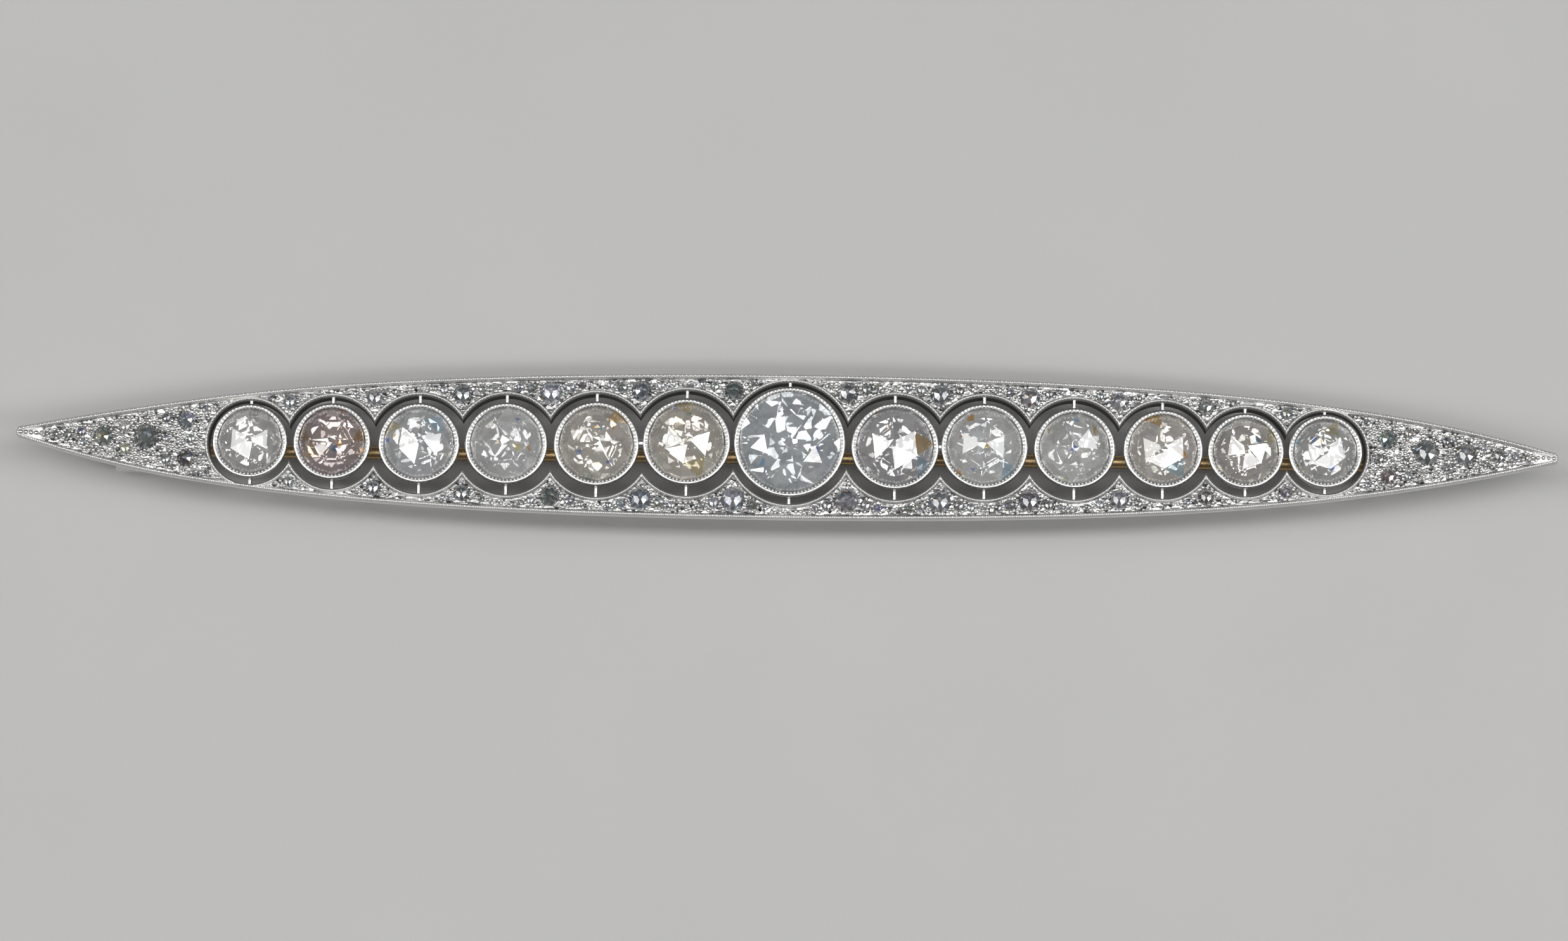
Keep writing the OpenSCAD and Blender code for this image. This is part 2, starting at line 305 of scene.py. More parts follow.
def newGroup(name, inputs, outputs, kind):
    # A node group whose inputs are numbers: its tree, nodes, inputs and Object coordinates
    group = bpy.data.node_groups.new(name, "ShaderNodeTree")
    sockets = [(label, "INPUT", "NodeSocketFloat") for label in inputs]
    for label, side, form in sockets + [(label, "OUTPUT", kind) for label in outputs]:
        group.interface.new_socket(label, in_out=side, socket_type=form)
    n = Nodes(group)
    given = group.nodes.new("NodeGroupInput").outputs
    return group, n, given, n.add("ShaderNodeTexCoord", 3)


def closeGroup(group, *values):  # feeds the group's outputs in their order
    result = group.nodes.new("NodeGroupOutput")
    for spot, value in enumerate(values):
        group.links.new(value, result.inputs[spot])
    return group


def wornMetalGroup():
    # Large soft stains and fine marks are noise; graver cuts are angular cells, each with a shade
    inputs, outputs = ("Stain Size", "Mark Size", "Cut Size"), ("Stain", "Marks", "Cuts", "Shade")
    group, n, given, place = newGroup("wornMetal", inputs, outputs, "NodeSocketFloat")
    stain = n.add("ShaderNodeTexNoise", Vector=place, Scale=given[0], Detail=3.0)
    marks = n.add("ShaderNodeTexNoise", Vector=place, Scale=given[1], Detail=2.0)
    cuts = n.add("ShaderNodeTexVoronoi", 0, {"distance": "MANHATTAN"}, Vector=place, Scale=given[2])
    shade = n.add("ShaderNodeSeparateColor", Color=cuts.node.outputs[1])
    return closeGroup(group, stain, marks, cuts, shade)


def facetGroup():
    # Painted reflections of a cut stone: angular cells at two sizes, light and dark, standing in for
    # the reflections seen inside it, with a few small cells of painted blue or orange fire
    inputs = ("Cell Size", "Contrast", "Fire")
    group, n, given, place = newGroup("paintedStoneReflections", inputs, ["Mosaic"], "NodeSocketColor")
    angular = {"distance": "CHEBYCHEV"}
    cells = n.add("ShaderNodeTexVoronoi", 1, angular, Vector=place, Scale=given[0])
    small = n.maths("MULTIPLY", given[0], 2.3)
    fine = n.add("ShaderNodeTexVoronoi", 1, angular, Vector=place, Scale=small)
    one = n.add("ShaderNodeSeparateColor", Color=cells)
    two = n.add("ShaderNodeSeparateColor", Color=fine)
    light = n.maths("ADD", n.maths("MULTIPLY", one, 0.6), n.maths("MULTIPLY", two, 0.4))
    shades = n.ramp(light, [
        (0.15, (0.25, 0.25, 0.26)), (0.45, (0.6, 0.6, 0.6)),
        (0.6, (0.85, 0.85, 0.84)), (0.8, (1.0, 1.0, 1.0)),
    ])
    mixed = n.mix("MIX", given[1], (1.0, 1.0, 1.0), shades)
    chance, pick = two.node.outputs[1], two.node.outputs[2]
    lit = n.maths("GREATER_THAN", n.maths("ADD", chance, given[2]), 1.0)
    hues = n.ramp(pick, [
        (0.0, (1.0, 0.45, 0.12)), (0.35, (1.0, 0.85, 0.4)),
        (0.6, (0.4, 0.8, 1.0)), (0.85, (0.35, 0.45, 1.0)),
    ])
    return closeGroup(group, n.mix("MULTIPLY", lit, mixed, hues))


metalGroup = wornMetalGroup()
stoneGroup = facetGroup()


def placeGroup(n, group, *values):  # gives the group's outputs, its inputs fed in their order
    inputs = {f"i{k}": value for k, value in enumerate(values)}
    return n.add("ShaderNodeGroup", 0, {"node_tree": group}, **inputs).node.outputs


def metal(name, look):
    # Stained and marked all over, with painted shade where the shade layer is painted, and rougher
    # on what stands up; where "ground" is painted, small flat graver cuts, each of its own shade
    material, n, shader = newMaterial(name)
    worn = placeGroup(n, metalGroup, look["stainSize"], look["markSize"], look["cutSize"])
    ground = n.painted("ground", 2)
    stained = n.mix("MIX", worn["Stain"], look["light"], look["dull"])
    # Painted shade from the painted layer, plus the graver cuts' own shades, both towards one dark
    # colour
    depth = n.maths("MULTIPLY", n.painted("paintedShade", 2), look["paintedShadeDepth"])
    depth = n.maths("ADD", depth, n.maths("MULTIPLY", ground, worn["Shade"]), True)
    shaded = n.mix("MIX", depth, stained, look["paintedShade"])
    rough = n.maths("ADD", n.maths("MULTIPLY", worn["Marks"], look["roughSpread"]), look["rough"])
    raised = n.maths("SUBTRACT", 1.0, ground)
    rough = n.maths("ADD", rough, n.maths("MULTIPLY", raised, look["ridgeRough"]))
    markHeight = {"Distance": 0.02 * mm, "Height": worn["Marks"]}
    marked = n.add("ShaderNodeBump", Strength=look["markDepth"], **markHeight)
    cutHeight = {"Distance": 0.05 * mm, "Height": n.maths("MULTIPLY", worn["Cuts"], ground)}
    cut = n.add("ShaderNodeBump", Strength=look["cutDepth"], Normal=marked, **cutHeight)
    n.feed(shader, Base_Color=shaded, Roughness=rough, Normal=cut, Metallic=1.0)
    return material


platinumLook = {
    "light": (0.735, 0.73, 0.715),
    "dull": (0.55, 0.545, 0.535),
    # the colour and strength of the painted shade; the graver cuts darken towards it too
    "paintedShade": (0.08, 0.08, 0.085),
    "paintedShadeDepth": 0.85,
    "stainSize": 500.0,
    "markSize": 6000.0,
    "markDepth": 0.2,
    "cutSize": 4200.0,
    "cutDepth": 0.8,
    "rough": 0.14,
    "roughSpread": 0.22,
    "ridgeRough": 0.0,
}
# The plate and its millegrain: rubbed soft everywhere but in the graver cuts, and painted
# lighter than the other platinum, a painted light that makes them read brighter
rubbedAndLitLook = {
    **platinumLook,
    "light": (0.86, 0.855, 0.84),
    "dull": (0.70, 0.695, 0.68),
    "ridgeRough": 0.27,
}
# The pin's gold is painted much darker than polished gold, a painted shade for the shade it lies in
# behind the bar
shadedGoldLook = {
    **platinumLook,
    "light": (0.50, 0.36, 0.18),
    "dull": (0.27, 0.185, 0.10),
    "paintedShade": (0.2, 0.12, 0.05),
    "paintedShadeDepth": 0.6,
    "stainSize": 400.0,
    "markSize": 7000.0,
    "markDepth": 0.12,
    "rough": 0.16,
    "roughSpread": 0.25,
}
platinum = metal("platinum", platinumLook)
rubbedAndLitPlatinum = metal("rubbedAndLitPlatinum", rubbedAndLitLook)
gold = metal("gold", shadedGoldLook)


def diamond(name, look):
    # Clear glass of a diamond's index, tinted facet by facet through the "facet" colours, which
    # carry painted fire and painted highlights, and by the mosaic of painted reflections
    material, n, shader = newMaterial(name)
    size, contrast, fire, rough, clear = look
    mosaic = placeGroup(n, stoneGroup, size, contrast, fire)
    tint = n.mix("MULTIPLY", 1.0, n.painted("facet", 0), mosaic["Mosaic"])
    n.feed(shader, Base_Color=tint, Metallic=0.0, Roughness=rough, IOR=2.417, Transmission_Weight=clear)
    return material


# For each kind of stone: painted reflection cells in a metre, contrast and painted fire of the
# cells, roughness, clearness
diamondLooks = {
    "clear": (1500.0, 0.3, 0.02, 0.01, 0.76),
    "soft": (1500.0, 0.3, 0.02, 0.01, 0.72),
    "cloudy": (1300.0, 0.3, 0.02, 0.01, 0.68),
    "centre": (1300.0, 0.4, 0.02, 0.01, 0.74),
    "small": (2600.0, 0.45, 0.08, 0.02, 0.8),
}
diamonds = {name: diamond(name + "Diamond", look) for name, look in diamondLooks.items()}
print("materials made")


# Plate: upper and lower ribbons from the openings' edge to the bar's edge, with walls and back

plateShape = {
    "arcSteps": 40, "endSteps": 84,
    "rimLevels": 8, "channelLevels": 16, "borderLevels": 8,
    "floorDrop": 0.08, "shoulder": 0.02,
    "rimShare": (0.04, 0.55), "borderShare": 0.4,  # least and most of the width that they take
    "dishDepth": 0.07, "dishWidth": 0.16,
    "noseFill": 1.3, "noseEase": 0.8, "noseRound": 0.4,
    # Outer wall: how far each row lies under the front, and how far it is drawn in
    "wall": [(0.12, 0.0), (0.45, 0.03), (0.95, 0.16), (1.12, 0.24), (1.2, 0.3)],
    "backShade": 0.55,
}


def circleCrossings(side):
    # Where neighbouring openings cross, above or below the midline: by Pythagoras from the line
    # between their middles
    dx, dy = np.diff(colletX), np.diff(colletY)
    apart = np.hypot(dx, dy)
    r1, r2 = openingR[:-1], openingR[1:]
    along = (apart**2 + r1**2 - r2**2) / (2 * apart)
    up = side * np.sqrt(r1**2 - along**2)
    return colletX[:-1] + (along * dx - up * dy) / apart


def innerEdge(side):
    # The chain of arcs over the openings, equal steps of angle on each, and the seam along the
    # midline from each nose to the first and the last opening
    crossX = circleCrossings(side)
    startX = np.append(colletX[0] - openingR[0], crossX)
    endX = np.append(crossX, colletX[-1] + openingR[-1])
    ends = np.arccos(np.clip((np.stack([startX, endX]) - colletX) / openingR, -1, 1))
    t = np.linspace(0, 1, plateShape["arcSteps"], endpoint=False)
    angle = ends[0][:, None] + (ends[1] - ends[0])[:, None] * t
    arcs = circle(openingR[:, None], side * angle, x=colletX[:, None], y=colletY[:, None])
    tip = barLength / 2
    ease = (1 - np.cos(np.linspace(0, np.pi, plateShape["endSteps"], endpoint=False))) / 2
    left = -tip + (startX[0] + tip) * ease
    left = sheet(left, midline(left) + colletY[0] * ease**2)
    ease = np.append(ease, 1.0)[::-1]
    right = tip - (tip - endX[-1]) * ease
    right = sheet(right, midline(right) + colletY[-1] * ease**2)
    return np.concatenate([left, arcs.reshape(-1, 2), right])


def ridge(t, low, top, floor):  # half round from the shoulder to the top, then to the floor
    t = np.clip(t, 0, 1)
    bow = np.sin(np.pi * t)
    return np.where(t < 0.5, low + (top - low) * bow, floor + (top - floor) * bow)


def frontHeight(x, y):
    # The higher of the rim's and the border's half rounds over the floor, less a dish round each
    # small stone; towards the noses the floor rises smoothly to the ridge
    shape = plateShape
    floor = bar["front"] - shape["floorDrop"]
    low = bar["front"] + shape["shoulder"]
    inner, outer = openingDistance(x, y), edgeDistance(x, y)
    dish = np.clip(1 - stoneDistance(x, y) / shape["dishWidth"], 0, 1) * shape["dishDepth"]
    z = np.maximum(
        ridge(inner / bar["rim"], low, bar["ridge"], floor),
        ridge(outer / bar["border"], low, bar["ridge"], floor),
    )
    channel = (inner > bar["rim"] * 0.8) & (outer > bar["border"] * 0.8)
    nose = np.clip((np.abs(x) - noseX + shape["noseFill"]) / shape["noseEase"], 0, 1)
    nose = nose**2 * (3 - 2 * nose)
    swell = np.sin(np.pi / 2 * np.clip(outer / shape["noseRound"], 0, 1))
    filled = floor + (bar["ridge"] - 0.01 - floor) * nose * swell
    return np.maximum(np.where(channel, z - dish, z), filled)


def ribbon(side):
    # A closed loop of points across the bar for each place along it: the front in rim, channel
    # and border, then the outer wall, the back and the inner wall
    shape, back = plateShape, bar["back"]
    x, yInner = innerEdge(side).T[:, :, None]
    across = np.abs(midline(x) + side * halfWidth(x) - yInner)
    reach = openingR + bar["rim"]
    over = colletY + side * np.sqrt(np.maximum(reach**2 - (x - colletX) ** 2, 0))
    over = np.where(np.abs(x - colletX) < reach, over * side, -9).max(1, keepdims=True)
    least, most = shape["rimShare"]
    rimWide = np.clip(over - yInner * side, least * across, most * across)
    borderWide = np.minimum(bar["border"] * 1.02, shape["borderShare"] * across)
    borderWide = np.minimum(borderWide, across - rimWide)
    middle = across - rimWide - borderWide
    rim = np.linspace(0, 1, shape["rimLevels"], endpoint=False) * rimWide
    channel = rimWide + middle * np.linspace(0, 1, shape["channelLevels"], endpoint=False)
    border = across - borderWide + borderWide * np.linspace(0, 1, shape["borderLevels"])
    y = yInner + side * np.concatenate([rim, channel, border], 1)
    front = sheet(x, y, frontHeight(x + 0 * y, y))

    # The outer wall is drawn in towards the back, and the inner wall rises from it to the rim
    drop, drawn = np.array(shape["wall"]).T
    wallY = yInner + side * across * np.clip(1 - drawn / np.maximum(across, 0.35), 0, 1)
    wallZ = np.append(bar["front"] - drop[:-1], back)
    backY = yInner + (wallY[:, -1:] - yInner) * np.array([0.75, 0.5, 0.25, 0.0])
    up = back + (front[:, :1, 2] - back) * np.array([0.35, 0.75])
    walls = sheet(x, wallY, wallZ), sheet(x, backY, back), sheet(x, yInner, up)
    return np.concatenate([front, *walls], 1)


def makePlate():
    # Both ribbons, painted where the ground is cut, with painted shade on the openings' walls and on
    # the back
    parts = []
    for side in (1, -1):
        loop = ribbon(side)
        rows, columns = loop.shape[:2]
        faces = gridFaces(rows, columns, False, True)
        # No inner wall at the noses, where upper and lower ribbons meet at the seam
        row, column = np.divmod(faces[:, 0], columns)
        atSeam = (row < plateShape["endSteps"]) | (row >= rows - plateShape["endSteps"] - 1)
        parts.append((loop.reshape(-1, 3), faces[~(atSeam & (column >= columns - 3))]))
    piece = mountPiece("plate", *joined(parts), rubbedAndLitPlatinum, 50)
    x, y, z = meshPoints(piece.data).T
    low = np.clip((bar["front"] + 0.05 - z) / 0.13, 0, 1) * (z > bar["front"] - 0.3)
    inner = openingDistance(x, y)
    inside = (inner > 0.05) & (edgeDistance(x, y) > 0.05)
    # Painted shade: the openings' walls darken below the front, and the back is darkened too
    wall = (inner < 0.05) * np.clip((bar["front"] - z) / 0.3, 0, 1)
    dull = plateShape["backShade"] * (z < bar["back"] + 0.02)
    paintPoints(piece, "ground", low * inside)
    paintPoints(piece, "paintedShade", np.maximum(wall, dull))


makePlate()
print("plate made")


# Collets: turned cups with a rounded rim, a bright bevel down to the stone and an open back

colletShape = {
    "sides": 72,
    "rimWidth": 0.3, "taper": 0.86, "seat": 0.17,
    "bore": 0.62, "low": 2.7,
    "centreBore": 0.55, "centreLow": 2.3,
}


def colletProfile(r, low, boreR, girdleZ, last):
    # Outline of the wall from the bore's lower edge, out, up, over the rim and down inside
    top = bar["colletTop"]
    seat = r - colletShape["seat"]
    inner = r - colletShape["rimWidth"]
    base = r * colletShape["taper"]
    return np.array([
        [boreR, low + 0.04], [boreR + 0.04, low], [base - 0.05, low], [base, low + 0.05],
        [base + (r - base) * 0.5, (low + top - 0.3) / 2], [r - 0.005, top - 0.3],
        [r, top - 0.12], [r - 0.02, top - 0.05], [r - 0.07, top - 0.01], [r - 0.13, top],
        [inner + 0.08, top - 0.015], [inner + 0.02, top - 0.05], [inner, top - 0.1],
        [inner + 0.06, top - 0.15], [seat, girdleZ + 0.09], [seat, girdleZ - 0.05],
        [seat - 0.04, girdleZ - 0.05], last,
    ])


def makeCollets():
    # Every profile turned round its own axis; where the outer wall lies level with the plate it gets
    # painted shade
    shape, parts = colletShape, []
    for k, (x, y, _, girdleZ) in enumerate(seats):
        low, boreR = shape["low"], colletR[k] * shape["bore"]
        last = [boreR, girdleZ - 0.25]
        if k == centre:
            low, boreR = shape["centreLow"], (colletR[k] - shape["seat"]) * shape["centreBore"]
            last = [boreR + 0.01, low + 0.1]
        points, faces = lathe(colletProfile(colletR[k], low, boreR, girdleZ, last), shape["sides"])
        parts.append((points + [x, y, 0], faces))
    piece = mountPiece("collets", *joined(parts), platinum, 35)
    x, y, z = meshPoints(piece.data).T
    far = (distances(x, y, seats) / colletR).min(1)
    depth = np.clip((bar["colletTop"] - 0.35 - z) / 0.6, 0, 1)
    behind = np.clip((z - bar["back"] + 0.35) / 0.3, 0, 1)
    # Painted shade on the outer wall, from below the rim down to about the plate's back
    paintPoints(piece, "paintedShade", depth * behind * (far > shape["taper"] * 0.98))


makeCollets()
print("collets made")


# Millegrain and setting grains: low domes, joined in one mesh for each run

beadShape = {
    "edgePitch": 0.235, "edgeR": 0.1, "edgeInset": 0.14,
    "rimPitch": 0.2, "rimR": 0.07,
    "colletPitch": 0.205, "colletBeadR": 0.088, "colletInset": 0.2,
    "spread": (0.88, 1.08), "rimSpread": (0.85, 1.1),
    "sides": 8,
    "rise": (-20, 36),  # of a bead's two rings of corners, in degrees
    "seed": 4,
}


def domes(places, radii):
    # A ball's upper part on a grid: rings at rising angles, closed by a tip and a flat base
    sides, rise = beadShape["sides"], np.radians(beadShape["rise"])[:, None]
    rings = circle(np.cos(rise), turns(sides), np.sin(rise)).reshape(-1, 3)
    one = np.concatenate([rings, [[0, 0, 1]]])
    quads = gridFaces(len(rise), sides, False, True)
    j = np.arange(sides)
    last = (len(rise) - 1) * sides
    tip = np.stack([last + j, last + (j + 1) % sides, np.full(sides, len(one) - 1)], -1)
    points = (places[:, None, :] + radii[:, None, None] * one).reshape(-1, 3)
    return points, repeated([quads, tip, j[::-1][None]], len(places), len(one))


def beadRow(path, pitch):  # even steps along a fine path, as near to the pitch as they come
    count = round(np.hypot(*np.diff(path, axis=0).T).sum() / pitch)
    return evenly(path, max(2, count), 0.5)


def arc(x, y, r, first=0.0, last=2 * np.pi):  # a fine path round (x, y)
    return circle(r, np.linspace(first, last, 200), x=x, y=y)


def ringRows(radii, pitch):  # a closed row round each collet
    places = zip(colletX, colletY, radii)
    return np.concatenate([beadRow(arc(*place), pitch) for place in places])


def beadPiece(name, flat, r, spread, z, step):  # domes, each r times a share from the spread
    rng = np.random.default_rng(beadShape["seed"] + step)
    radii = r * rng.uniform(*spread, len(flat))
    points, blocks = domes(np.column_stack([flat, np.full(len(flat), z)]), radii)
    mountPiece(name, points, blocks, rubbedAndLitPlatinum, 80, False)


def makeMillegrain():
    # Rows on the border, on the openings' rims where these stand free, and on the collets' rims
    shape, ridgeTop = beadShape, bar["ridge"] - 0.01
    x = noseX * np.sin(np.linspace(-np.pi / 2, np.pi / 2, 600))
    inset = shape["edgeInset"]
    paths = [np.stack([x, midline(x) + side * (halfWidth(x) - inset)], 1) for side in (1, -1)]
    for side in (1, -1):
        nose, middle = side * noseX, np.pi / 2 * (1 - side)
        half = (middle - np.pi / 2, middle + np.pi / 2)
        paths.append(arc(nose, float(midline(nose)), noseR - inset, *half))
    flat = np.concatenate([beadRow(path, shape["edgePitch"]) for path in paths])
    beadPiece("edgeMillegrain", flat, shape["edgeR"], shape["spread"], ridgeTop, 0)

    flat = ringRows(openingR + bar["rim"] / 2, shape["rimPitch"])
    inner, outer = openingDistance(*flat.T), edgeDistance(*flat.T)
    flat = flat[(inner > bar["rim"] * 0.42) & (outer > bar["border"] * 0.9)]
    beadPiece("openingMillegrain", flat, shape["rimR"], shape["rimSpread"], ridgeTop, 1)

    flat = ringRows(colletR - shape["colletInset"], shape["colletPitch"])
    r, z = shape["colletBeadR"], bar["colletTop"] - 0.005
    beadPiece("colletMillegrain", flat, r, shape["spread"], z, 2)


grainShape = {
    "pitch": 0.262, "r": 0.118, "jitter": 0.05,
    "claws": [(0.2, 3), (0.35, 4), (0.6, 6), (9.0, 8)],  # up to each radius of stone, how many
    "clawR": 0.12, "clawOut": 0.04, "clawUp": 0.04,
    "spread": (0.8, 1.15), "noseSpread": (0.8, 1.1),
    "sunk": 0.03, "uneven": 0.02,
    "offStone": 0.07, "offClaw": 0.19,
    "offEdge": 0.75,  # of a grain's radius
    "noseR": 0.16, "noseCount": 5,
    "seed": 9,
}


def makeGrains():
    # Claws on each small stone's girdle, then a shaken hexagonal field where there is room, and
    # a row along each nose
    shape = grainShape
    rng = np.random.default_rng(shape["seed"])
    claws = []
    for x, y, r, _ in allSmall:
        count = next(number for most, number in shape["claws"] if r < most)
        angle = rng.uniform(0, 2 * np.pi) + turns(count)
        claws.append(circle(r + shape["clawOut"], angle, x=x, y=y))
    claws = np.concatenate(claws)
    pitch = shape["pitch"]
    rows = np.arange(-barWidth / 2, barWidth / 2, pitch * 0.866)
    columns = np.arange(-barLength / 2, barLength / 2, pitch)
    x, y = np.meshgrid(columns, rows)
    x = x + (np.arange(len(rows)) % 2)[:, None] * pitch / 2
    field = np.stack([x.ravel(), y.ravel()], 1)
    field = field + rng.uniform(-1, 1, field.shape) * shape["jitter"]
    offClaw = distances(*field.T, claws).min(1)
    field = field[(stoneDistance(*field.T) > shape["offStone"]) & (offClaw > shape["offClaw"])]
    flat = np.concatenate([claws, field])
    isClaw = np.arange(len(flat)) < len(claws)
    radii = np.where(isClaw, shape["clawR"], shape["r"]) * rng.uniform(*shape["spread"], len(flat))
    inner = openingDistance(*flat.T) - bar["rim"]
    outer = edgeDistance(*flat.T) - bar["border"]
    room = (np.minimum(inner, outer) > radii * shape["offEdge"]) & (np.abs(flat[:, 0]) < noseX - 0.7)
    flat, radii, isClaw = flat[room], radii[room], isClaw[room]
    uneven = rng.uniform(-shape["uneven"], shape["uneven"], len(flat))
    z = bar["front"] - shape["sunk"] + np.where(isClaw, shape["clawUp"], uneven)
    noseRow = np.linspace(noseX - 1.1, noseX + 0.05, shape["noseCount"])
    noseRow = np.concatenate([-noseRow, noseRow])
    flat = np.concatenate([flat, np.stack([noseRow, midline(noseRow)], 1)])
    noseRadii = shape["noseR"] * rng.uniform(*shape["noseSpread"], len(noseRow))
    radii = np.append(radii, noseRadii)
    z = np.append(z, np.full(len(noseRow), bar["ridge"] - 0.04))
    points, blocks = domes(np.column_stack([flat, z]), radii)
    mountPiece("settingGrains", points, blocks, platinum, 80, False)
    return len(flat)


makeMillegrain()
print("millegrain and", makeGrains(), "grains made")


# Struts and solder between the collets

strutShape = {"width": 0.2, "low": 3.3, "top": 4.28, "soft": 0.04, "start": 0.88, "past": 0.1}
solderShape = {"after": [4, 7], "r": 0.2, "stretch": (1.1, 1.5, 1.2), "swell": 0.12, "drop": 0.3}


def bevelled(left, right, low, top, soft):  # a rectangle's outline with its corners cut off
    return np.array([
        [left, low + soft], [left + soft, low], [right - soft, low], [right, low + soft],
        [right, top - soft], [right - soft, top], [left + soft, top], [left, top - soft],
    ])


def makeStruts():
    # A bevelled outline carried from each collet's wall to the plate, above and below
    shape = strutShape
    half = shape["width"] / 2
    outline = bevelled(-half, half, shape["low"], shape["top"], shape["soft"])
    parts = []
    for k in range(len(colletX)):
        for side in (1, -1):
            reach = np.array([colletR[k] * shape["start"], openingR[k] + shape["past"]])
            y = (colletY[k] + side * reach)[:, None]
            points = sheet(colletX[k] + outline[:, 0], y, outline[:, 1]).reshape(-1, 3)
            parts.append((points, gridFaces(2, len(outline), False, True)))
    mountPiece("struts", *joined(parts), platinum, 30)


def makeSolder():
    # Drops: a ball drawn out sideways, its surface swelling and shrinking with the angle
    shape, places = solderShape, []
    for k in shape["after"]:
        x = (colletX[k] + colletR[k] + colletX[k + 1] - colletR[k + 1]) / 2
        places.append([x, (colletY[k] + colletY[k + 1]) / 2, bar["colletTop"] - shape["drop"]])
    theta = np.linspace(0.001, np.pi - 0.001, 12)[:, None]
    phi = turns(20)
    out = (1 + shape["swell"] * np.cos(2 * phi) * np.sin(theta)) * np.sin(theta)
    ball = circle(out, phi, np.cos(theta)).reshape(-1, 3) * shape["stretch"] * shape["r"]
    parts = [(ball + place, gridFaces(12, 20, False, True)) for place in places]
    mountPiece("solder", *joined(parts), platinum, 80)


makeStruts()
makeSolder()
print("struts and solder made")


# Hinge, rivet and catch

fittingShape = {
    "hingeX": 33.15, "stemY": -0.12, "stemZ": 1.25,
    "cheekR": 1.15, "cheekOut": 1.2, "cheekIn": 0.48, "footL": 1.2,
    "rivetHeadR": 0.45, "rivetR": 0.38,
    "bridge": (-1.13, 1.13, 2.28, 3.12),  # from and to along X, then up Z
    "bridgeHalf": 0.6,
    "catchX": -35.95, "catchL": 2.5, "catchR": 1.25, "catchBore": 0.6,
    "catchMouth": 0.8,  # half the mouth's height, as a share of the bore's radius
    "catchFoot": 1.0, "catchWeb": 0.5,
    "soft": 0.07,
}
hingePlace = [fittingShape["hingeX"], fittingShape["stemY"], fittingShape["stemZ"]]


def softened(outline, count, passes):
    # The outline at even steps of its length, then each point moved to the mean of its neighbours
    even = evenly(np.concatenate([outline, outline[:1]]), count)
    for _ in range(passes):
        even = (np.roll(even, 1, 0) + 2 * even + np.roll(even, -1, 0)) / 4
    return even


def prism(outline, low, high, soft):
    # A closed outline carried along an axis; at both ends it draws in along a quarter circle
    ahead = np.roll(outline, -1, 0) - np.roll(outline, 1, 0)
    out = np.stack([ahead[:, 1], -ahead[:, 0]], 1) / np.hypot(*ahead.T)[:, None]
    x, y = outline.T
    out *= np.sign((x * np.roll(y, -1) - np.roll(x, -1) * y).sum())
    quarter = np.radians([0, 30, 60, 90])
    inset = soft * (1 - np.sin(quarter))
    rise = soft * (1 - np.cos(quarter))
    inset, at = np.append(inset, inset[::-1]), np.append(low + rise, high - rise[::-1])
    x, y = (outline - out * inset[:, None, None]).transpose(2, 0, 1)
    points = sheet(x, y, at[:, None]).reshape(-1, 3)
    count = len(outline)
    caps = np.stack([np.arange(count)[::-1], np.arange(7 * count, 8 * count)])
    return points, [gridFaces(8, count, False, True), caps]


def cheekOutline():
    # Round below, straight up to the plate, with a flat foot; given as X and Z
    f = fittingShape
    r, top = f["cheekR"], bar["back"] + 0.1
    x, z = circle(r, np.linspace(0, -np.pi, 49), y=f["stemZ"]).T
    z = np.where(np.abs(x) < f["footL"] / 2, 0.0, z)
    outline = np.column_stack([np.append(x, [-r, r]), np.append(z, [top, top])])
    return softened(outline, 140, 3)


def catchOutline():
    # A ring open towards +Y, with a web up to the plate and a flat foot; given as Y and Z
    f = fittingShape
    gap = np.arcsin(f["catchMouth"])
    inner = circle(f["catchBore"], np.linspace(gap, 2 * np.pi - gap, 40))
    lip = np.arcsin(f["catchBore"] * f["catchMouth"] / f["catchR"])
    y, z = circle(f["catchR"], np.linspace(2 * np.pi - lip, lip, 90)).T
    z = np.where((np.abs(y) < f["catchFoot"]) & (z < -0.6), -f["stemZ"], z)
    web = (np.abs(y) < f["catchWeb"]) & (z > 0)
    z = np.where(web, bar["back"] + 0.1 - f["stemZ"], z)
    return softened(np.concatenate([np.column_stack([y, z]), inner]), 260, 4)


def makeFittings():
    # Cheeks and the bridge between them are outlines in X and Z carried along Y, the rivet is
    # turned round Y, and the catch is an outline in Y and Z carried along X
    f = fittingShape
    place = [f["hingeX"], 0, 0]
    left, right, low, high = f["bridge"]
    bridge = softened(np.array([[left, low], [right, low], [right, high], [left, high]]), 60, 1)
    spans = [sorted([side * f["cheekIn"], side * f["cheekOut"]]) for side in (1, -1)]
    blanks = [(cheekOutline(), *span, f["soft"]) for span in spans]
    blanks.append((bridge, -f["bridgeHalf"], f["bridgeHalf"], 0.02))
    parts = []
    for outline, start, end, soft in blanks:
        points, blocks = prism(outline, f["stemY"] + start, f["stemY"] + end, soft)
        parts.append((points[:, [0, 2, 1]] + place, blocks))
    r, head, reach = f["rivetR"], f["rivetHeadR"], f["cheekOut"]
    half = np.array([
        [0.0005, reach + 0.10], [0.4 * head, reach + 0.09], [0.75 * head, reach + 0.06],
        [0.95 * head, reach + 0.02], [head, reach - 0.04], [r, reach - 0.05],
    ])
    points, blocks = lathe(np.concatenate([half, half[::-1] * [1, -1]]), 36, False)
    parts.append((points[:, [0, 2, 1]] + hingePlace, blocks))
    half = f["catchL"] / 2
    outline = catchOutline() + [f["stemY"], f["stemZ"]]
    points, blocks = prism(outline, f["catchX"] - half, f["catchX"] + half, f["soft"])
    parts.append((points[:, [2, 0, 1]], blocks))
    mountPiece("hingeAndCatch", *joined(parts), platinum, 35)


stemShape = {
    "r": 0.375, "pointR": 0.08, "past": 0.6,
    "taperFrom": -33.2, "tip": -38.4,
    "eyeR": 0.95, "eyeHalf": 0.4, "eyePlay": 0.08, "eyeSoft": 0.06,
}


